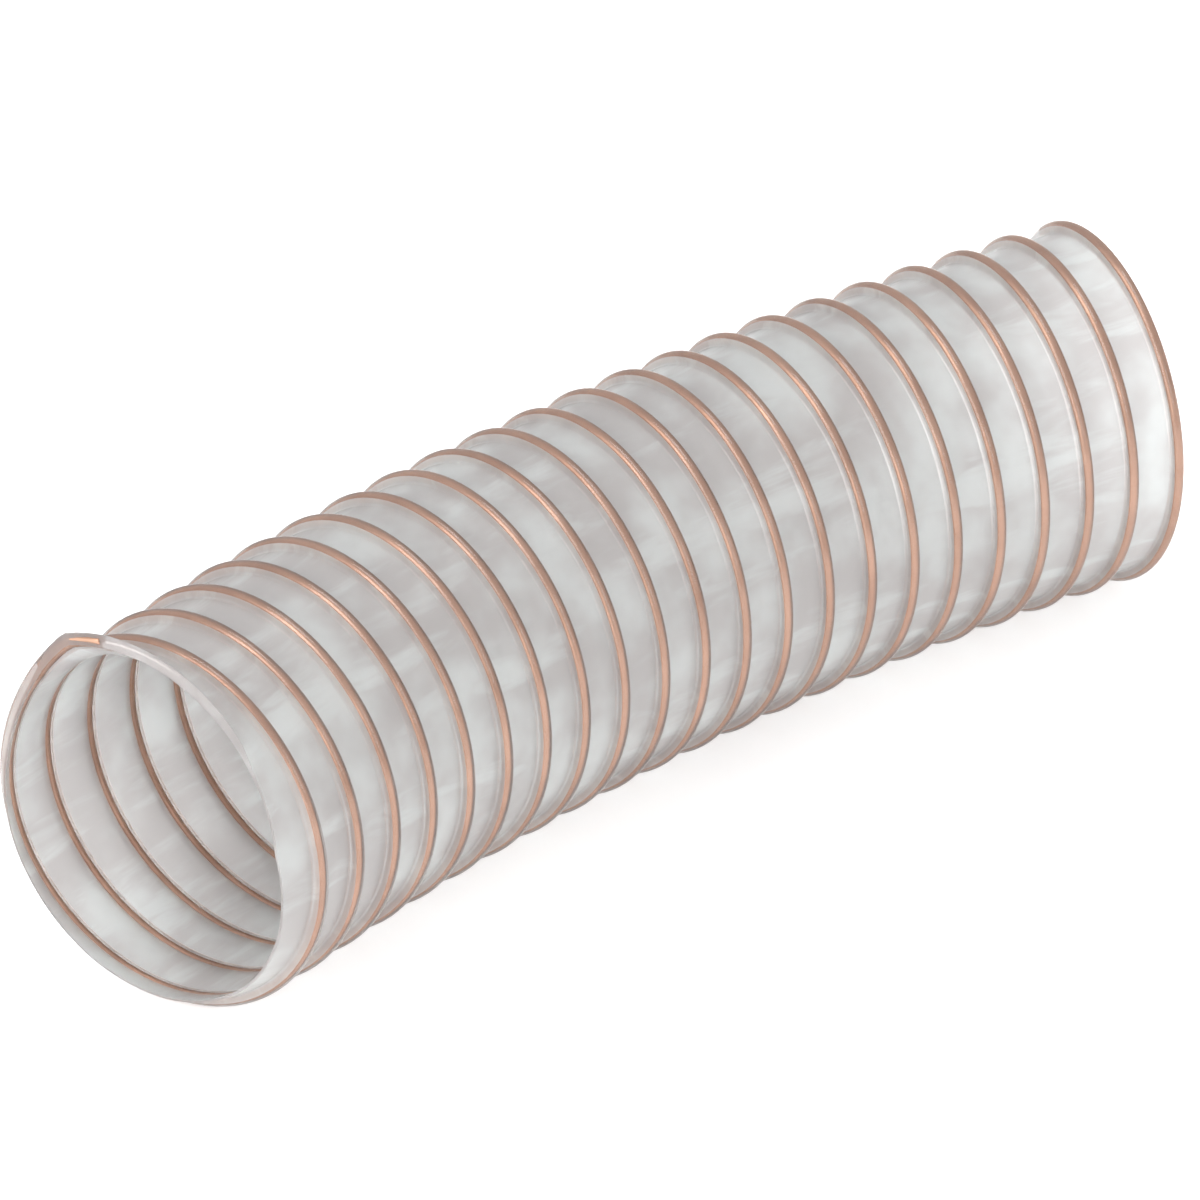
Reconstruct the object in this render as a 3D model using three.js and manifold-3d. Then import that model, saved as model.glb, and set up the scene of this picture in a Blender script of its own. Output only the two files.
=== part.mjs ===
// Flexible air hose: a thin polyurethane film wound round a sprung copper-coated wire.
//
// The hose lies on its side in a gentle level bend. Its centre line is an arc in a level plane, and
// every point of it is found from three values: the angle round the hose, the distance along the
// hose from its near cut end, and the distance out from the centre line.
// Lengths are millimetres and angles are degrees unless a name says otherwise.

import * as THREE from 'three';
import { ParametricGeometry } from 'three/addons/geometries/ParametricGeometry.js';
import { mergeVertices } from 'three/addons/utils/BufferGeometryUtils.js';
import Module from 'manifold-3d';

// Bore and film
const boreDiameter = 100;
const filmThickness = 0.85;

// The rib that carries the wire
const ribHeight = 3.2;
const ribFootWidth = 4.8;
const ribShoulderWidth = 3.4;
const ribShoulderHeight = 2.2;

// The wire and the tunnel that holds it
const wireDiameter = 2;
const wireClearance = 0.3;
const coverUnderWire = 0.45;

// The winding and the bend
const pitch = 16.4;
const turns = 22;
const windingAngleAtCut = -9;
const bendRadius = 760;

// The near mouth, where the cut wire has sprung outwards and drawn the rim with it
const wireEndLift = 9;
const mouthPinch = 2.5;
const wireSideReach = 55;
const filmSideReach = 98;
const mouthDepth = 18;

// The far cut, which leans with the winding: its extra length on the centre line, and in degrees how far it
// leans and on which side the hose is left longest
const farCutExtra = 1;
const farCutLean = 3.2;
const farCutLongSide = 60;

// Fineness of the faceted surfaces
const columns = 20;
const wireSides = 6;
const boreStep = 1.5 * pitch;
const mouthStep = pitch / 4;

// Colours seen in the photograph
const filmColour = 0xc9c7c8;
const wireColour = 0x9a6a57;

// Sizes that follow from the ones above
const hoseLength = turns * pitch;
const boreRadius = boreDiameter / 2;
const filmRadius = boreRadius + filmThickness;
const wireRadius = wireDiameter / 2;
const tunnelRadius = wireRadius + wireClearance;
const coilRadius = boreRadius + coverUnderWire + tunnelRadius;
const columnAngle = 360 / columns;
const overrun = 8;

// The first and last column of the wire, so that both of its ends are buried inside the cuts
const endInset = (wireRadius / pitch) * 360;
const firstColumn = Math.ceil((windingAngleAtCut + endInset) / columnAngle);
const lastColumn = Math.floor((farCutAngle() - endInset) / columnAngle);
const wireEndAngle = firstColumn * columnAngle;

// Smallest signed turn from one angle to another
function turnBetween(from, to) {
  return THREE.MathUtils.euclideanModulo(to - from + 180, 360) - 180;
}

// How far the near mouth stands out from a true circle, at an angle and a distance along the hose
function mouthLift(angle, along) {
  if (along >= mouthDepth) return 0;
  const away = turnBetween(wireEndAngle, angle);
  const wireSide = Math.max(0, 1 - away / wireSideReach) ** 2;
  const filmSide = Math.cos(THREE.MathUtils.degToRad(90 * Math.min(1, -away / filmSideReach)));
  const share = away > 0 ? wireSide : filmSide;
  const fade = (1 - Math.max(0, along) / mouthDepth) ** 2;
  return fade * ((wireEndLift + mouthPinch) * share - mouthPinch);
}

// A point of the bent hose. Angle 0 is the top, and 90 is the outside of the bend.
function place(angle, along, radius, target = new THREE.Vector3()) {
  const turn = THREE.MathUtils.degToRad(angle);
  const bend = (along - hoseLength / 2) / bendRadius;
  const out = radius + mouthLift(angle, along) * Math.min(1, radius / boreRadius);
  const reach = bendRadius + out * Math.sin(turn);
  return target.set(reach * Math.sin(bend), reach * Math.cos(bend) - bendRadius, out * Math.cos(turn));
}

// Where the winding is, along the hose, once it has turned through an angle
function windingAt(angle) {
  return (pitch * (angle - windingAngleAtCut)) / 360;
}

// The winding angle at which the wire's centre meets the far cut
function farCutAngle() {
  const squareAngle = windingAngleAtCut + turns * 360;
  let angle = squareAngle;
  while (windingAt(angle) < farCutAt(angle)) angle += 1;
  return angle;
}

// How far along the hose the far cut is, at an angle, on the wire's coil
function farCutAt(angle) {
  const lean = Math.tan(THREE.MathUtils.degToRad(farCutLean));
  const side = Math.cos(THREE.MathUtils.degToRad(angle - farCutLongSide));
  return hoseLength + farCutExtra + coilRadius * lean * side;
}

// The wire's path: one column of the hose for each step
class Winding extends THREE.Curve {
  constructor(fromColumn, toColumn) {
    super();
    this.fromAngle = fromColumn * columnAngle;
    this.toAngle = toColumn * columnAngle;
    this.steps = toColumn - fromColumn;
  }

  angleAt(share) {
    return THREE.MathUtils.lerp(this.fromAngle, this.toAngle, share);
  }

  getPoint(share, target) {
    const angle = this.angleAt(share);
    return place(angle, windingAt(angle), coilRadius, target);
  }

  // Steps are even in angle, so that the wire's facets meet the columns of the wall
  getPointAt(share, target) {
    return this.getPoint(share, target);
  }

  // Frames that keep facing outwards from the centre line
  computeFrenetFrames(segments) {
    const frames = { tangents: [], normals: [], binormals: [] };
    for (let i = 0; i <= segments; i += 1) {
      const angle = this.angleAt(i / segments);
      const centre = place(angle, windingAt(angle), 0);
      const tangent = this.getTangent(i / segments);
      const outward = this.getPoint(i / segments).sub(centre);
      outward.addScaledVector(tangent, -outward.dot(tangent)).normalize();
      frames.tangents.push(tangent);
      frames.normals.push(outward);
      frames.binormals.push(new THREE.Vector3().crossVectors(tangent, outward));
    }
    return frames;
  }
}

// A round bar swept along the winding
function sweptBar(radius, fromColumn, toColumn) {
  const section = new THREE.Shape();
  for (let side = 0; side < wireSides; side += 1) {
    const turn = (side / wireSides) * 2 * Math.PI;
    const x = radius * Math.cos(turn);
    const y = radius * Math.sin(turn);
    if (side === 0) section.moveTo(x, y);
    else section.lineTo(x, y);
  }
  const path = new Winding(fromColumn, toColumn);
  return new THREE.ExtrudeGeometry(section, { steps: path.steps, extrudePath: path, bevelEnabled: false });
}

// The outer profile over one pitch: distance from the wire along the hose, and distance out
const profile = [
  [-ribFootWidth / 2, filmRadius],
  [-ribShoulderWidth / 2, filmRadius + ribShoulderHeight],
  [0, filmRadius + ribHeight],
  [ribShoulderWidth / 2, filmRadius + ribShoulderHeight],
  [ribFootWidth / 2, filmRadius],
];

// The outer radius at any distance along the hose from the nearest wire
function profileRadius(fromWire) {
  const offset = THREE.MathUtils.euclideanModulo(fromWire + pitch / 2, pitch) - pitch / 2;
  for (let i = 1; i < profile.length; i += 1) {
    const [before, low] = profile[i - 1];
    const [after, high] = profile[i];
    if (offset >= before && offset <= after) {
      return THREE.MathUtils.mapLinear(offset, before, after, low, high);
    }
  }
  return filmRadius;
}

// The outer skin, with a flat face at each end: the near cut, and one past the far cut. Its rows follow
// the winding, and a row that would run past an end is held there.
function outerSkin() {
  const spareTurns = 2;
  const rows = (Math.ceil(turns) + 2 * spareTurns) * profile.length;
  const stacks = rows + 1;
  const end = hoseLength + overrun;
  return new ParametricGeometry((u, v, target) => {
    const angle = u * 360;
    const row = Math.round((1 - v) * stacks) - 1;
    if (row < 0) return place(angle, 0, 0, target);
    if (row >= rows) return place(angle, end, 0, target);
    const turn = Math.floor(row / profile.length) - spareTurns;
    const [offset, radius] = profile[row % profile.length];
    const along = windingAt(angle + turn * 360) + offset;
    const held = THREE.MathUtils.clamp(along, 0, end);
    return place(angle, held, held === along ? radius : profileRadius(held - windingAt(angle)), target);
  }, columns, stacks);
}

// The space inside the film, running past both cut ends
function boreCore() {
  const stations = [-overrun];
  for (let along = 0; along < mouthDepth; along += mouthStep) stations.push(along);
  const rest = hoseLength + overrun - mouthDepth;
  const spans = Math.ceil(rest / boreStep);
  for (let i = 0; i <= spans; i += 1) stations.push(mouthDepth + (rest * i) / spans);
  const stacks = stations.length + 1;
  return new ParametricGeometry((u, v, target) => {
    const row = Math.round((1 - v) * stacks) - 1;
    const end = row < 0 || row >= stations.length;
    const along = stations[THREE.MathUtils.clamp(row, 0, stations.length - 1)];
    return place(u * 360, along, end ? 0 : boreRadius, target);
  }, columns, stacks);
}

// The block that the far cut takes away, standing on the cut
function farOffcut() {
  const bend = (hoseLength / 2 + farCutExtra) / bendRadius;
  const lean = THREE.MathUtils.degToRad(farCutLean);
  const along = new THREE.Vector3(Math.cos(bend), -Math.sin(bend), 0);
  const longSide = place(farCutLongSide, hoseLength + farCutExtra, 1)
    .sub(place(0, hoseLength + farCutExtra, 0));
  const normal = along.multiplyScalar(Math.cos(lean)).addScaledVector(longSide, -Math.sin(lean));
  const across = new THREE.Vector3().crossVectors(normal, longSide).normalize();
  const up = new THREE.Vector3().crossVectors(normal, across);
  const block = new THREE.BoxGeometry(4 * overrun, 3 * coilRadius, 3 * coilRadius);
  block.translate(2 * overrun, 0, 0);
  const seat = new THREE.Matrix4().makeBasis(normal, across, up);
  seat.setPosition(place(0, hoseLength + farCutExtra, 0));
  return block.applyMatrix4(seat);
}

const wasm = await Module();
wasm.setup();

// A closed three.js geometry as a solid that can be joined and cut
function toSolid(geometry) {
  const bare = new THREE.BufferGeometry();
  bare.setAttribute('position', geometry.getAttribute('position'));
  bare.setIndex(geometry.getIndex());
  const merged = mergeVertices(bare);
  const index = merged.getIndex().array;
  const triangles = [];
  for (let i = 0; i < index.length; i += 3) {
    const [a, b, c] = index.subarray(i, i + 3);
    if (a !== b && b !== c && c !== a) triangles.push(a, b, c);
  }
  return new wasm.Manifold(new wasm.Mesh({
    numProp: 3,
    vertProperties: merged.getAttribute('position').array,
    triVerts: new Uint32Array(triangles),
  }));
}

// A solid as a three.js geometry
function toGeometry(solid) {
  const mesh = solid.getMesh();
  const geometry = new THREE.BufferGeometry();
  geometry.setAttribute('position', new THREE.BufferAttribute(mesh.vertProperties, mesh.numProp));
  geometry.setIndex(new THREE.BufferAttribute(mesh.triVerts, 1));
  geometry.computeVertexNormals();
  return geometry;
}

function hoseWall() {
  const tunnel = toSolid(sweptBar(tunnelRadius, firstColumn - 1, lastColumn + 1));
  const uncut = toSolid(outerSkin()).subtract(toSolid(boreCore())).subtract(tunnel);
  const solid = uncut.subtract(toSolid(farOffcut()));
  const material = new THREE.MeshStandardMaterial({
    color: filmColour,
    roughness: 0.45,
    metalness: 0,
    transparent: true,
    opacity: 0.7,
  });
  const mesh = new THREE.Mesh(toGeometry(solid), material);
  mesh.name = 'hose_wall';
  return mesh;
}

function wireHelix() {
  const material = new THREE.MeshStandardMaterial({ color: wireColour, roughness: 0.35, metalness: 0.85 });
  const mesh = new THREE.Mesh(sweptBar(wireRadius, firstColumn, lastColumn), material);
  mesh.name = 'wire_helix';
  return mesh;
}

const hose = new THREE.Group();
hose.name = 'air_hose';
hose.add(hoseWall(), wireHelix());

// The origin is on the floor, under the middle of the hose
const box = new THREE.Box3().setFromObject(hose);
const middle = box.getCenter(new THREE.Vector3());
hose.position.set(-middle.x, -middle.y, -box.min.z);

export default hose;
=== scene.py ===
"""Looks of a flexible air hose: a milky polyurethane film wound round a copper coated wire.

The hose is modelled straight along X, as it comes off the winding machine, and then laid in its
bend. All lengths are metres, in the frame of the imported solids.
"""

import logging
import math
from dataclasses import dataclass, field
from enum import Enum

import bmesh
import bpy
from mathutils import Matrix, Vector, noise


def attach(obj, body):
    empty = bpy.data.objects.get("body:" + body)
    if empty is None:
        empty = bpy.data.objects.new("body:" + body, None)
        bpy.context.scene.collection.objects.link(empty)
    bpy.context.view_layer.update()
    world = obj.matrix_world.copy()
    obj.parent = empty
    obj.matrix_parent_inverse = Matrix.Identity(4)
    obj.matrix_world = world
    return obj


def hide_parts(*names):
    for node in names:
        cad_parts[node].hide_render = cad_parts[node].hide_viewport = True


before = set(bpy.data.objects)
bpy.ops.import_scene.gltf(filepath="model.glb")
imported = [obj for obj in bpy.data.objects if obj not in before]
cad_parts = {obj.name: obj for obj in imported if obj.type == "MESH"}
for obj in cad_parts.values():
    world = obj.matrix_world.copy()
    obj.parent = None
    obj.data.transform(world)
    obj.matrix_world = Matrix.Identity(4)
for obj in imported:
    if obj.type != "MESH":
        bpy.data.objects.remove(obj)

log = logging.getLogger("air_hose")

MILLIMETRE = 0.001
TURN = 2 * math.pi
WHITE = (1.0, 1.0, 1.0, 1.0)
STRAIGHT_PLACE = "straight_place"

Section = list[bmesh.types.BMVert | bmesh.types.BMEdge]


class Skin(Enum):
    """The faces of the hose wall, by the material slot that each takes."""

    FILM = 0
    RIB = 1
    CUT = 2


@dataclass(frozen=True)
class HosePlan:
    """The sizes that both pieces of the hose are made from.

    Angles are measured about the centre line, from the top of the hose towards +Y, which is also
    the way in which the wire turns as it goes along. The wire is shown slightly thicker than its
    solid, which comes closer to its width in the photograph.
    """

    bore_radius: float = 50 * MILLIMETRE
    film_thickness: float = 0.85 * MILLIMETRE
    rib_height: float = 3.2 * MILLIMETRE
    wire_radius: float = 1.0 * MILLIMETRE
    wire_shown_radius: float = 1.18 * MILLIMETRE
    wire_clearance: float = 0.3 * MILLIMETRE
    cover_under_wire: float = 0.45 * MILLIMETRE
    pitch: float = 16.4 * MILLIMETRE
    turns: int = 22
    winding_angle_at_cut: float = math.radians(-9)
    wire_start_angle: float = math.radians(18)
    wire_tip_angle: float = math.radians(6)
    wire_end_angle: float = math.radians(36)
    bend_radius: float = 760 * MILLIMETRE
    wire_end_lift: float = 8.8 * MILLIMETRE
    mouth_pinch: float = 2.5 * MILLIMETRE
    wire_side_reach: float = math.radians(55)
    film_side_reach: float = math.radians(98)
    mouth_depth: float = 18 * MILLIMETRE
    far_cut_extra: float = 0.6 * MILLIMETRE
    far_cut_lean: float = math.radians(3.2)
    far_cut_long_side: float = math.radians(60)
    arc_middle: tuple[float, float, float] = (-0.00237, 0.009506, 0.05405)

    @property
    def length(self) -> float:
        """Length of the hose along its centre line."""
        return self.turns * self.pitch

    @property
    def film_radius(self) -> float:
        """Outer radius of the film where it meets a rib."""
        return self.bore_radius + self.film_thickness

    @property
    def coil_radius(self) -> float:
        """Radius of the wire's centre line."""
        return self.bore_radius + self.cover_under_wire + self.wire_clearance + self.wire_radius

    @property
    def rib_radius(self) -> float:
        """Outer radius of the hose over a rib."""
        return self.film_radius + self.rib_height

    @property
    def cuts(self) -> tuple[tuple[Vector, Vector], tuple[Vector, Vector]]:
        """A point and the outward normal of the near and the far cut, on the straight hose."""
        long_side = Vector((0.0, math.sin(self.far_cut_long_side), math.cos(self.far_cut_long_side)))
        lean = Vector((1.0, 0.0, 0.0)) - long_side * math.tan(self.far_cut_lean)
        near = (Vector((0.0, 0.0, 0.0)), Vector((-1.0, 0.0, 0.0)))
        far = (Vector((self.length + self.far_cut_extra, 0.0, 0.0)), lean.normalized())
        return near, far

    def winding(self, angle: float) -> float:
        """Where the wire is along the hose once it has turned through an angle.

        Args:
            angle: how far the wire has turned, from the top of the hose.

        Returns:
            The distance from the near cut.
        """
        return self.pitch * (angle - self.winding_angle_at_cut) / TURN

    def from_wire(self, angle: float, along: float) -> float:
        """Distance along the hose from the nearest turn of wire to a point of the wall.

        Args:
            angle: the point's angle about the centre line.
            along: the point's distance from the near cut.

        Returns:
            The distance, at most half a pitch either way.
        """
        offset = along - self.winding(angle)
        return (offset + self.pitch / 2) % self.pitch - self.pitch / 2

    def mouth_lift(self, angle: float, along: float) -> float:
        """How far the near mouth stands out from a true circle.

        Args:
            angle: the place about the centre line.
            along: the distance from the near cut.

        Returns:
            The lift of the rim there, which is negative where the mouth is pinched.
        """
        if along >= self.mouth_depth:
            return 0.0
        away = (angle - self.wire_start_angle + math.pi) % TURN - math.pi
        if away > 0:
            share = max(0.0, 1 - away / self.wire_side_reach) ** 2
        else:
            share = math.cos(math.pi / 2 * min(1.0, -away / self.film_side_reach))
        fade = (1 - max(0.0, along) / self.mouth_depth) ** 2
        return fade * ((self.wire_end_lift + self.mouth_pinch) * share - self.mouth_pinch)

    def laid(self, straight: Vector) -> Vector:
        """Where a point of the straight hose lies once the hose is in its bend.

        Args:
            straight: a point of the straight hose, with X along it from the near cut end.

        Returns:
            The same point of the bent hose, in the frame of the solids.
        """
        angle = math.atan2(straight.y, straight.z)
        radius = math.hypot(straight.y, straight.z)
        out = radius + self.mouth_lift(angle, straight.x) * min(1.0, radius / self.bore_radius)
        bend = (straight.x - self.length / 2) / self.bend_radius
        reach = self.bend_radius + out * math.sin(angle)
        x = reach * math.sin(bend)
        y = reach * math.cos(bend) - self.bend_radius
        return Vector((x, y, out * math.cos(angle))) + Vector(self.arc_middle)


def smooth_max(a: float, b: float, blend: float) -> float:
    """The larger of two values, with a fillet where they cross.

    Args:
        a: one value.
        b: the other value.
        blend: how near the values come before the fillet starts.

    Returns:
        The larger value, or slightly more inside the fillet.
    """
    share = max(blend - abs(a - b), 0.0) / blend
    return max(a, b) + share * share * blend / 4


def lay_in_bend(bm: bmesh.types.BMesh, plan: HosePlan) -> None:
    """Keeps each vertex's straight place as an attribute and moves it to its bent place.

    Args:
        bm: the straight piece.
        plan: the sizes of the hose.
    """
    straight = bm.verts.layers.float_vector.new(STRAIGHT_PLACE)
    for vert in bm.verts:
        vert[straight] = vert.co.copy()
        vert.co = plan.laid(vert.co)


def finished(bm: bmesh.types.BMesh, name: str, materials: list[bpy.types.Material]) -> bpy.types.Object:
    """Turns a bmesh into a finished piece that rides with the hose.

    Args:
        bm: the piece's mesh, which is freed.
        name: the piece's name.
        materials: one for each material index that the faces use.

    Returns:
        The new object, at the origin and unturned.
    """
    mesh = bpy.data.meshes.new(name)
    bm.to_mesh(mesh)
    bm.free()
    for material in materials:
        mesh.materials.append(material)
    piece = bpy.data.objects.new(name, mesh)
    bpy.context.scene.collection.objects.link(piece)
    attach(piece, "root")
    log.info("%s: %d faces", name, len(mesh.polygons))
    return piece


@dataclass
class Nodes:
    """A small helper that adds and links the nodes of one node tree."""

    tree: bpy.types.NodeTree

    def add(self, kind: str, **settings: object) -> bpy.types.Node:
        """Adds a node and sets its properties and, by name or number, its inputs.

        Args:
            kind: the node's type name.
            settings: properties of the node, with its inputs under the key inputs.

        Returns:
            The new node.
        """
        node = self.tree.nodes.new(kind)
        inputs = settings.pop("inputs", {})
        for name, value in settings.items():
            setattr(node, name, value)
        for name, value in inputs.items():
            if isinstance(value, bpy.types.NodeSocket):
                self.tree.links.new(value, node.inputs[name])
            else:
                node.inputs[name].default_value = value
        return node

    def link(self, start: bpy.types.NodeSocket, end: bpy.types.NodeSocket) -> None:
        """Joins an output to an input.

        Args:
            start: the output.
            end: the input.
        """
        self.tree.links.new(start, end)

    def math(self, operation: str, *values: object) -> bpy.types.NodeSocket:
        """Adds a Math node.

        Args:
            operation: what the node does.
            values: a number or an output for each of its inputs.

        Returns:
            The node's output.
        """
        node = self.add("ShaderNodeMath", operation=operation, inputs=dict(enumerate(values)))
        return node.outputs[0]

    def ramp(self, value: bpy.types.NodeSocket, limits: tuple[float, float],
             interpolation: str = "SMOOTHSTEP") -> bpy.types.NodeSocket:
        """Adds a Map Range node that spreads a range of values over 0 to 1.

        Args:
            value: the output to spread.
            limits: the values that become 0 and 1.
            interpolation: how the values between them are spread.

        Returns:
            The node's output.
        """
        low, high = limits
        node = self.add("ShaderNodeMapRange", interpolation_type=interpolation,
                        inputs={"Value": value, "From Min": low, "From Max": high})
        return node.outputs[0]


@dataclass(frozen=True)
class StretchMarks:
    """The group that draws lengthwise streaks, creases and haze in blown film."""

    name: str = "stretch_marks"
    streak_length: float = 6.0
    streak_scale: float = 90.0
    streak_detail: float = 4.0
    streak_roughness: float = 0.6
    streak_distortion: float = 0.4
    streak_range: tuple[float, float] = (0.47, 0.66)
    streak_relief: float = 0.6
    haze_scale: float = 34.0
    haze_detail: float = 3.0
    haze_roughness: float = 0.55
    haze_range: tuple[float, float] = (0.42, 0.66)
    haze_relief: float = 0.4

    def group(self) -> bpy.types.NodeTree:
        """Builds the node group once and returns it.

        Returns:
            A group with the outputs Streak, Haze and Relief, each from 0 to 1.
        """
        if self.name in bpy.data.node_groups:
            return bpy.data.node_groups[self.name]
        tree = bpy.data.node_groups.new(self.name, "ShaderNodeTree")
        settings = {
            "Streak Length": self.streak_length,
            "Streak Scale": self.streak_scale,
            "Haze Scale": self.haze_scale,
        }
        for label, value in settings.items():
            socket = tree.interface.new_socket(label, in_out="INPUT", socket_type="NodeSocketFloat")
            socket.default_value = value
        for label in ("Streak", "Haze", "Relief"):
            tree.interface.new_socket(label, in_out="OUTPUT", socket_type="NodeSocketFloat")
        nodes = Nodes(tree)
        given = nodes.add("NodeGroupInput")
        place = nodes.add("ShaderNodeAttribute", attribute_name=STRAIGHT_PLACE).outputs["Vector"]
        squeeze = nodes.math("DIVIDE", 1.0, given.outputs["Streak Length"])
        factors = nodes.add("ShaderNodeCombineXYZ", inputs={0: squeeze, 1: 1.0, 2: 1.0}).outputs[0]
        drawn = nodes.add("ShaderNodeVectorMath", operation="MULTIPLY", inputs={0: place, 1: factors})
        along = drawn.outputs[0]
        streak = nodes.add("ShaderNodeTexNoise", inputs={
            "Vector": along, "Scale": given.outputs["Streak Scale"], "Detail": self.streak_detail,
            "Roughness": self.streak_roughness, "Distortion": self.streak_distortion}).outputs[0]
        haze = nodes.add("ShaderNodeTexNoise", inputs={
            "Vector": place, "Scale": given.outputs["Haze Scale"], "Detail": self.haze_detail,
            "Roughness": self.haze_roughness}).outputs[0]
        relief = nodes.math("ADD", nodes.math("MULTIPLY", streak, self.streak_relief),
                            nodes.math("MULTIPLY", haze, self.haze_relief))
        out = nodes.add("NodeGroupOutput")
        nodes.link(nodes.ramp(streak, self.streak_range), out.inputs["Streak"])
        nodes.link(nodes.ramp(haze, self.haze_range), out.inputs["Haze"])
        nodes.link(relief, out.inputs["Relief"])
        return tree


@dataclass(frozen=True)
class PolyurethaneFinish:
    """Milky polyurethane: it passes blurred light and shows what touches it."""

    name: str
    clear_colour: tuple[float, float, float] = (0.72, 0.7, 0.695)
    milky_colour: tuple[float, float, float] = (0.87, 0.89, 0.885)
    transmission: float = 0.66
    roughness: float = 0.55
    roughness_swing: float = 0.12
    coat: float = 0.35
    coat_roughness: float = 0.22
    refraction: float = 1.49
    relief: float = 0.9
    relief_depth: float = 0.5 * MILLIMETRE

    def material(self) -> bpy.types.Material:
        """Builds the material."""
        material = bpy.data.materials.new(self.name)
        material.use_nodes = True
        nodes = Nodes(material.node_tree)
        shader = material.node_tree.nodes["Principled BSDF"]
        marks = nodes.add("ShaderNodeGroup")
        marks.node_tree = StretchMarks().group()
        milk = nodes.math("MAXIMUM", marks.outputs["Haze"], marks.outputs["Streak"])
        colour = nodes.add("ShaderNodeMix", data_type="RGBA", inputs={0: milk})
        colour.inputs["A"].default_value = (*self.clear_colour, 1.0)
        colour.inputs["B"].default_value = (*self.milky_colour, 1.0)
        swing = nodes.math("MULTIPLY_ADD", marks.outputs["Streak"], self.roughness_swing, self.roughness)
        bump = nodes.add("ShaderNodeBump", inputs={
            "Strength": self.relief, "Distance": self.relief_depth, "Height": marks.outputs["Relief"]})
        nodes.link(colour.outputs["Result"], shader.inputs["Base Color"])
        nodes.link(swing, shader.inputs["Roughness"])
        nodes.link(bump.outputs[0], shader.inputs["Normal"])
        shader.inputs["Transmission Weight"].default_value = self.transmission
        shader.inputs["IOR"].default_value = self.refraction
        shader.inputs["Coat Weight"].default_value = self.coat
        shader.inputs["Coat Roughness"].default_value = self.coat_roughness
        return material


@dataclass(frozen=True)
class CopperedWireFinish:
    """Drawn steel wire with a thin copper coat, dulled where the coat is worn, with painted shade darkening
    its colour towards its silhouette edges.
    """

    name: str = "coppered_wire"
    bright_colour: tuple[float, float, float] = (0.66, 0.4, 0.28)
    dull_colour: tuple[float, float, float] = (0.52, 0.3, 0.2)
    # Painted shade: the dark colour that is blended in towards the wire's silhouette edges.
    painted_edge_shade_colour: tuple[float, float, float] = (0.22, 0.12, 0.08)
    painted_edge_shade_blend: float = 0.42
    painted_edge_shade_range: tuple[float, float] = (0.25, 0.8)
    wear_scale: float = 60.0
    wear_detail: float = 3.0
    wear_roughness: float = 0.5
    wear_range: tuple[float, float] = (0.3, 0.75)
    relief: float = 0.04
    relief_depth: float = 0.05 * MILLIMETRE
    metallic: float = 0.8
    roughness: float = 0.3
    roughness_swing: float = 0.1

    def material(self) -> bpy.types.Material:
        """Builds the material."""
        material = bpy.data.materials.new(self.name)
        material.use_nodes = True
        nodes = Nodes(material.node_tree)
        shader = material.node_tree.nodes["Principled BSDF"]
        place = nodes.add("ShaderNodeTexCoord").outputs["Object"]
        worn = nodes.add("ShaderNodeTexNoise", inputs={
            "Vector": place, "Scale": self.wear_scale, "Detail": self.wear_detail,
            "Roughness": self.wear_roughness}).outputs[0]
        share = nodes.ramp(worn, self.wear_range, "LINEAR")
        colour = nodes.add("ShaderNodeMix", data_type="RGBA", inputs={0: share})
        colour.inputs["A"].default_value = (*self.bright_colour, 1.0)
        colour.inputs["B"].default_value = (*self.dull_colour, 1.0)
        # Painted shade: the colour darkens where the surface turns away from the camera, standing in for
        # the shade along the wire's sides.
        facing = nodes.add("ShaderNodeLayerWeight", inputs={"Blend": self.painted_edge_shade_blend}).outputs["Facing"]
        edge = nodes.ramp(facing, self.painted_edge_shade_range)
        shaded = nodes.add("ShaderNodeMix", data_type="RGBA", inputs={0: edge})
        shaded.inputs["B"].default_value = (*self.painted_edge_shade_colour, 1.0)
        nodes.link(colour.outputs["Result"], shaded.inputs["A"])
        rough = nodes.math("MULTIPLY_ADD", share, self.roughness_swing, self.roughness)
        bump = nodes.add("ShaderNodeBump", inputs={
            "Strength": self.relief, "Distance": self.relief_depth, "Height": worn})
        nodes.link(shaded.outputs["Result"], shader.inputs["Base Color"])
        nodes.link(rough, shader.inputs["Roughness"])
        nodes.link(bump.outputs[0], shader.inputs["Normal"])
        shader.inputs["Metallic"].default_value = self.metallic
        return material


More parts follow.
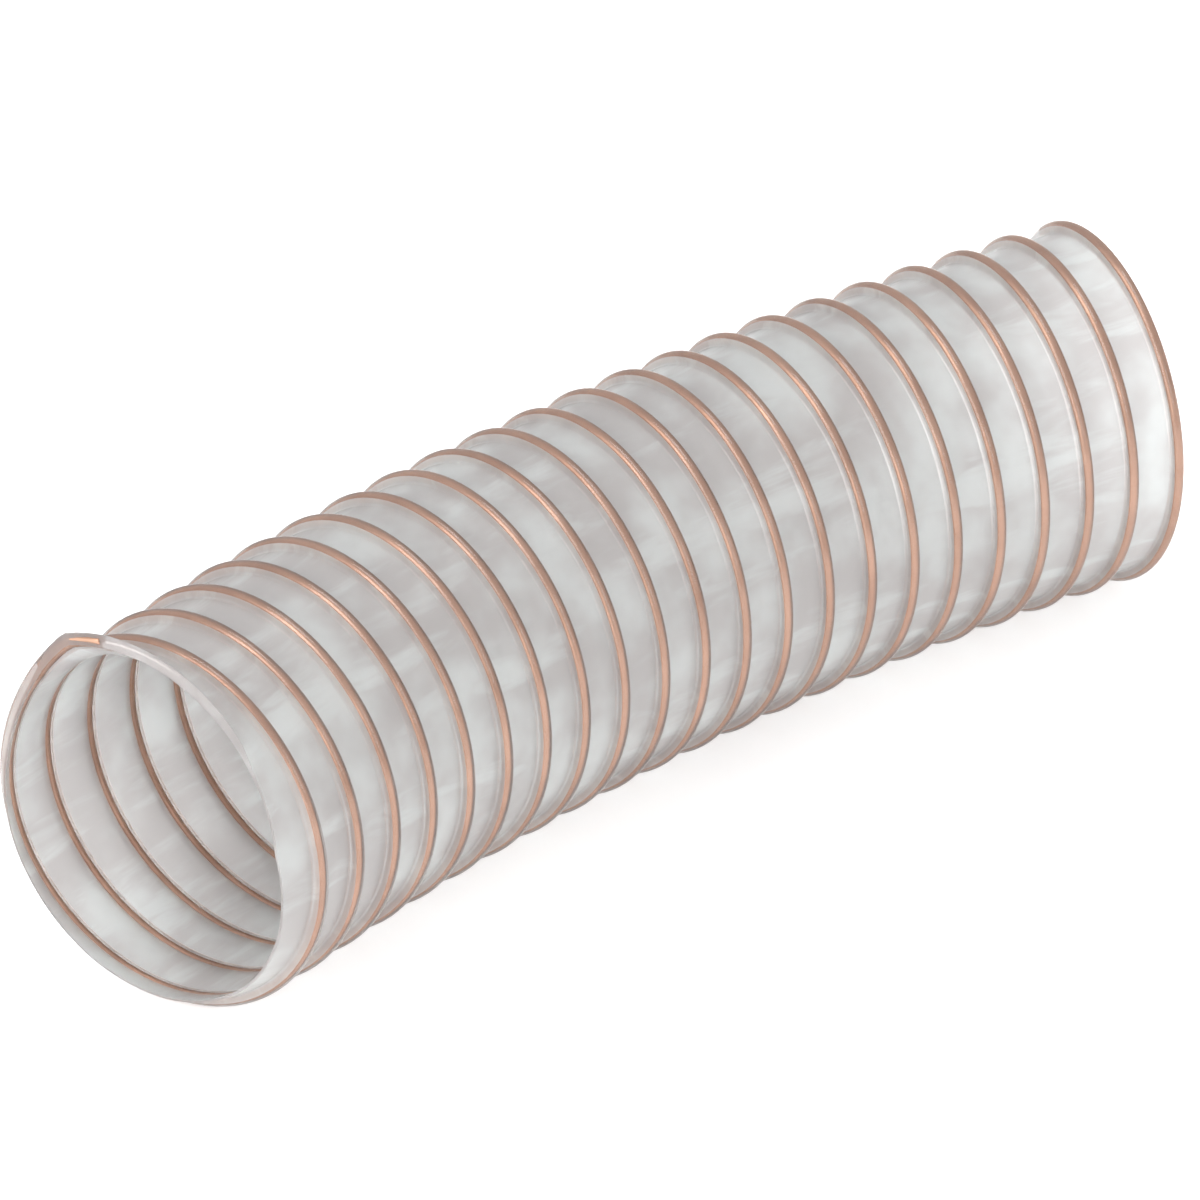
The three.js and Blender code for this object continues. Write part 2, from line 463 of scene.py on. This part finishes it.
@dataclass
class Winder:
    """Sweeps a section of the straight hose along the winding."""

    plan: HosePlan
    bm: bmesh.types.BMesh
    steps_per_turn: int

    def set_out(self, verts: list[bmesh.types.BMVert], angle: float) -> None:
        """Turns a section that was drawn at the top of the hose to its place on the winding.

        Args:
            verts: the section's vertices, drawn in the XZ plane.
            angle: how far the wire has turned there.
        """
        turn = Matrix.Rotation(-angle, 3, "X")
        bmesh.ops.rotate(self.bm, verts=verts, cent=(0, 0, 0), matrix=turn)
        bmesh.ops.translate(self.bm, verts=verts, vec=(self.plan.winding(angle), 0, 0))

    def part_turn(self, section: Section, angle: float) -> Section:
        """Sweeps a section through an angle of at most one turn.

        Args:
            section: the section's vertices and edges.
            angle: the angle to sweep through.

        Returns:
            The vertices and edges of the section at the far end of the sweep.
        """
        steps = max(1, round(angle / TURN * self.steps_per_turn))
        rise = self.plan.pitch * angle / TURN / steps
        swept = bmesh.ops.spin(self.bm, geom=section, cent=(0, 0, 0), axis=(-1, 0, 0), dvec=(rise, 0, 0),
                               angle=angle, steps=steps, use_merge=False, use_duplicate=False)
        return swept["geom_last"]

    def whole_turns(self, section: Section, count: int) -> None:
        """Sweeps a section through one turn and repeats that turn along the hose.

        Args:
            section: the section's vertices and edges.
            count: the number of turns.
        """
        before = set(self.bm.faces)
        self.part_turn(section, TURN)
        faces = [face for face in self.bm.faces if face not in before]
        edges = {edge for face in faces for edge in face.edges}
        verts = {vert for face in faces for vert in face.verts}
        turn = list(verts) + list(edges) + faces
        for done in range(1, count):
            copy = bmesh.ops.duplicate(self.bm, geom=turn)["geom"]
            moved = [item for item in copy if isinstance(item, bmesh.types.BMVert)]
            bmesh.ops.translate(self.bm, verts=moved, vec=(done * self.plan.pitch, 0, 0))


@dataclass
class HoseWall:
    """The film and its helical rib, as one closed wall from cut end to cut end."""

    plan: HosePlan
    steps_per_turn: int = 96
    rib_reach: float = 2.6 * MILLIMETRE
    rib_half_width: float = 1.85 * MILLIMETRE
    clear_half_width: float = 1.78 * MILLIMETRE
    rib_segments: int = 16
    film_segments: int = 3
    film_sag: float = 0.5 * MILLIMETRE
    inner_sag_share: float = 0.6
    rib_fillet: float = 0.35 * MILLIMETRE
    flank_slope: float = 8 * MILLIMETRE
    wrinkle_depth: float = 0.22 * MILLIMETRE
    wrinkle_scale: float = 75.0
    wrinkle_length: float = 5.0
    wrinkle_rest: float = 0.3
    spare_turns: int = 2
    cut_tolerance: float = 1e-6
    rim_tolerance: float = 1e-5
    rib_finish: PolyurethaneFinish = field(default_factory=lambda: PolyurethaneFinish(
        "rib_polyurethane", clear_colour=(0.86, 0.78, 0.75), milky_colour=(0.88, 0.82, 0.8),
        transmission=0.94, roughness=0.14, roughness_swing=0.06, coat=0.05, relief=0.1))
    film_finish: PolyurethaneFinish = field(default_factory=lambda: PolyurethaneFinish("film_polyurethane"))
    cut_finish: PolyurethaneFinish = field(default_factory=lambda: PolyurethaneFinish(
        "cut_polyurethane", clear_colour=(0.62, 0.58, 0.575), milky_colour=(0.7, 0.665, 0.66),
        transmission=0.8, roughness=0.38, coat=0.0, relief=0.4))

    def outer_radius(self, offset: float) -> float:
        """Outer radius of the wall.

        Args:
            offset: distance along the hose from the nearest turn of wire.

        Returns:
            The radius there.
        """
        plan = self.plan
        film = plan.film_radius - self.film_sag * math.sin(math.pi * offset / plan.pitch) ** 2
        reach = abs(offset) / self.rib_half_width
        if reach < 1:
            rib = plan.coil_radius + (plan.rib_radius - plan.coil_radius) * math.sqrt(1 - reach * reach)
        else:
            rib = plan.coil_radius - (reach - 1) * self.flank_slope
        return min(smooth_max(rib, film, self.rib_fillet), plan.rib_radius)

    def inner_radius(self, offset: float) -> float:
        """Inner radius of the wall.

        Args:
            offset: distance along the hose from the nearest turn of wire.

        Returns:
            The radius there.
        """
        sag = self.inner_sag_share * self.film_sag
        return self.plan.bore_radius - sag * math.sin(math.pi * offset / self.plan.pitch) ** 2

    def stations(self) -> list[float]:
        """Distances from the wire, over one pitch, at which the profile has a point."""
        half = self.plan.pitch / 2
        rib = [self.rib_reach * (2 * i / self.rib_segments - 1) for i in range(self.rib_segments + 1)]
        film = [self.rib_reach + (half - self.rib_reach) * i / self.film_segments
                for i in range(1, self.film_segments + 1)]
        return [-offset for offset in reversed(film)] + rib + film

    def wind(self, bm: bmesh.types.BMesh, outer: bool) -> None:
        """Winds one pitch of profile along the hose into a full skin.

        Args:
            bm: the mesh that takes the skin.
            outer: whether the skin is the outer one.
        """
        radius_at = self.outer_radius if outer else self.inner_radius
        verts = [bm.verts.new((offset, 0.0, radius_at(offset))) for offset in self.stations()]
        edges = [bm.edges.new(pair) for pair in zip(verts, verts[1:])]
        winder = Winder(self.plan, bm, self.steps_per_turn)
        start = self.plan.winding_angle_at_cut - self.spare_turns * TURN
        winder.set_out(verts, start)
        winder.whole_turns(verts + edges, self.plan.turns + 2 * self.spare_turns)

    def cut(self, bm: bmesh.types.BMesh) -> None:
        """Cuts both ends to length and closes the wall there.

        Args:
            bm: the straight wall, longer than the hose at both ends.
        """
        for point, outward in self.plan.cuts:
            geom = bm.verts[:] + bm.edges[:] + bm.faces[:]
            bmesh.ops.bisect_plane(bm, geom=geom, dist=self.cut_tolerance, plane_co=point,
                                   plane_no=outward, clear_outer=True)
        for point, outward in self.plan.cuts:
            rim = [edge for edge in bm.edges if edge.is_boundary
                   and all(abs((vert.co - point).dot(outward)) < self.rim_tolerance for vert in edge.verts)]
            made = bmesh.ops.triangle_fill(bm, edges=rim, use_beauty=True, normal=outward)
            for edge in rim:
                edge.smooth = False
            for item in made["geom"]:
                if isinstance(item, bmesh.types.BMFace):
                    item.material_index = Skin.CUT.value

    def wrinkle(self, bm: bmesh.types.BMesh) -> None:
        """Works soft lengthwise wrinkles into the film, and none into the ribs.

        Args:
            bm: the straight wall.
        """
        plan = self.plan
        for vert in bm.verts:
            angle = math.atan2(vert.co.y, vert.co.z)
            radius = math.hypot(vert.co.y, vert.co.z)
            offset = plan.from_wire(angle, vert.co.x)
            freedom = math.sin(math.pi * offset / plan.pitch) ** 2
            sample = Vector((vert.co.x / self.wrinkle_length, vert.co.y, vert.co.z)) * self.wrinkle_scale
            push = (noise.noise(sample) - self.wrinkle_rest) * self.wrinkle_depth * freedom
            share = 1 + push / radius
            vert.co.y *= share
            vert.co.z *= share

    def sort_faces(self, bm: bmesh.types.BMesh) -> None:
        """Gives the faces over the wire the rib's finish.

        Args:
            bm: the straight wall.
        """
        for face in bm.faces:
            face.smooth = face.material_index != Skin.CUT.value
            centre = face.calc_center_median()
            offset = self.plan.from_wire(math.atan2(centre.y, centre.z), centre.x)
            if face.smooth and abs(offset) < self.clear_half_width:
                face.material_index = Skin.RIB.value

    def build(self) -> bpy.types.Object:
        """Builds and dresses the wall.

        Returns:
            The finished piece.
        """
        bm = bmesh.new()
        self.wind(bm, outer=True)
        self.wind(bm, outer=False)
        bmesh.ops.remove_doubles(bm, verts=bm.verts[:], dist=self.cut_tolerance)
        self.cut(bm)
        self.sort_faces(bm)
        self.wrinkle(bm)
        lay_in_bend(bm, self.plan)
        bmesh.ops.recalc_face_normals(bm, faces=bm.faces[:])
        finishes = {Skin.FILM: self.film_finish, Skin.RIB: self.rib_finish, Skin.CUT: self.cut_finish}
        piece = finished(bm, "polyurethane_wall", [finishes[skin].material() for skin in Skin])
        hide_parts("hose_wall")
        return piece


@dataclass
class WireHelix:
    """The sprung wire inside the rib, snipped square across the wire at both ends."""

    plan: HosePlan
    steps_per_turn: int = 96
    sides: int = 14
    end_chamfer: float = 0.15 * MILLIMETRE
    chamfer_segments: int = 2
    weld: float = 1e-6
    finish: CopperedWireFinish = field(default_factory=CopperedWireFinish)

    def build(self) -> bpy.types.Object:
        """Builds and dresses the wire.

        Returns:
            The finished piece.
        """
        plan = self.plan
        bm = bmesh.new()
        start = plan.wire_tip_angle
        turned = plan.turns * TURN + plan.wire_end_angle - start
        round_end = bmesh.ops.create_circle(bm, cap_ends=False, radius=plan.wire_shown_radius,
                                            segments=self.sides)
        verts = round_end["verts"]
        edges = bm.edges[:]
        bmesh.ops.rotate(bm, verts=verts, cent=(0, 0, 0), matrix=Matrix.Rotation(math.pi / 2, 3, "X"))
        bmesh.ops.translate(bm, verts=verts, vec=(0, 0, plan.coil_radius))
        winder = Winder(plan, bm, self.steps_per_turn)
        winder.set_out(verts, start)
        whole = math.floor(turned / TURN)
        last = winder.part_turn(verts + edges, turned - whole * TURN)
        winder.whole_turns(last, whole)
        bmesh.ops.remove_doubles(bm, verts=bm.verts[:], dist=self.weld)
        caps = bmesh.ops.holes_fill(bm, edges=[edge for edge in bm.edges if edge.is_boundary], sides=0)
        for face in bm.faces:
            face.smooth = True
        rims = list({edge for face in caps["faces"] for edge in face.edges})
        bmesh.ops.bevel(bm, geom=rims, offset=self.end_chamfer, offset_type="OFFSET", affect="EDGES",
                        segments=self.chamfer_segments, profile=0.5, material=-1)
        lay_in_bend(bm, plan)
        bmesh.ops.recalc_face_normals(bm, faces=bm.faces[:])
        piece = finished(bm, "coppered_wire", [self.finish.material()])
        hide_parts("wire_helix")
        return piece


@dataclass(frozen=True)
class SoftLight:
    """A square softbox that faces a point of the hose."""

    name: str
    place: tuple[float, float, float]
    watts: float
    side: float
    aim: tuple[float, float, float] = (0.0, 0.0, 0.05)

    def build(self) -> None:
        """Hangs the light."""
        lamp = bpy.data.lights.new(self.name, "AREA")
        lamp.energy = self.watts
        lamp.size = self.side
        stand = bpy.data.objects.new(self.name, lamp)
        way = Vector(self.aim) - Vector(self.place)
        stand.location = self.place
        stand.rotation_euler = way.to_track_quat("-Z", "Y").to_euler()
        bpy.context.scene.collection.objects.link(stand)


@dataclass
class Studio:
    """The pale floor, the soft light and the camera at the photograph's angle."""

    floor_half: float = 6.0
    floor_colour: tuple[float, float, float] = (0.9, 0.9, 0.9)
    floor_roughness: float = 0.9
    floor_glow: float = 0.5
    sky_strength: float = 0.7
    camera_place: tuple[float, float, float] = (-1.1817, -1.4791, 1.0168)
    camera_way: tuple[float, float, float] = (0.55409, 0.69802, -0.45361)
    camera_roll: float = math.radians(-5.029)
    focal_pixels: float = 7493.0
    picture_pixels: float = 1200.0
    sensor: float = 36.0
    sight: float = 20.0
    lights: tuple[SoftLight, ...] = (
        SoftLight("top_softbox", (-0.3, 0.1, 2.2), 18.0, 1.1),
        SoftLight("front_softbox", (-1.1, -2.1, 1.1), 15.0, 1.2),
        SoftLight("mouth_softbox", (-2.4, 0.2, 1.1), 23.0, 1.4),
    )

    def lay_floor(self) -> None:
        """Makes the floor and gives it to the stage."""
        bm = bmesh.new()
        bmesh.ops.create_grid(bm, x_segments=1, y_segments=1, size=self.floor_half)
        mesh = bpy.data.meshes.new("floor")
        bm.to_mesh(mesh)
        bm.free()
        material = bpy.data.materials.new("floor")
        material.use_nodes = True
        shader = material.node_tree.nodes["Principled BSDF"]
        shader.inputs["Base Color"].default_value = (*self.floor_colour, 1.0)
        shader.inputs["Roughness"].default_value = self.floor_roughness
        shader.inputs["Emission Color"].default_value = WHITE
        shader.inputs["Emission Strength"].default_value = self.floor_glow
        mesh.materials.append(material)
        floor = bpy.data.objects.new("floor", mesh)
        bpy.context.scene.collection.objects.link(floor)

    def light_sky(self) -> None:
        """Fills the room with even white light."""
        world = bpy.data.worlds.new("studio")
        world.use_nodes = True
        sky = world.node_tree.nodes["Background"]
        sky.inputs["Color"].default_value = WHITE
        sky.inputs["Strength"].default_value = self.sky_strength
        bpy.context.scene.world = world
        bpy.context.scene.view_settings.view_transform = "Standard"

    def set_camera(self) -> None:
        """Puts the camera where the photograph was taken from."""
        lens = bpy.data.cameras.new("camera")
        lens.sensor_width = self.sensor
        lens.lens = self.sensor * self.focal_pixels / self.picture_pixels
        lens.clip_end = self.sight
        camera = bpy.data.objects.new("camera", lens)
        level = Vector(self.camera_way).to_track_quat("-Z", "Y").to_matrix()
        turned = level @ Matrix.Rotation(self.camera_roll, 3, "Z")
        camera.location = self.camera_place
        camera.rotation_euler = turned.to_euler()
        bpy.context.scene.collection.objects.link(camera)
        bpy.context.scene.camera = camera

    def build(self) -> None:
        """Sets up the whole studio."""
        self.lay_floor()
        self.light_sky()
        self.set_camera()
        for light in self.lights:
            light.build()


def main() -> None:
    """Builds the hose in its studio."""
    logging.basicConfig(level=logging.INFO, format="%(name)s: %(message)s")
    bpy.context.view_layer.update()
    plan = HosePlan()
    Studio().build()
    for maker in (WireHelix(plan), HoseWall(plan)):
        piece = maker.build()
        log.info("built %s", piece.name)


if __name__ == "__main__":
    main()
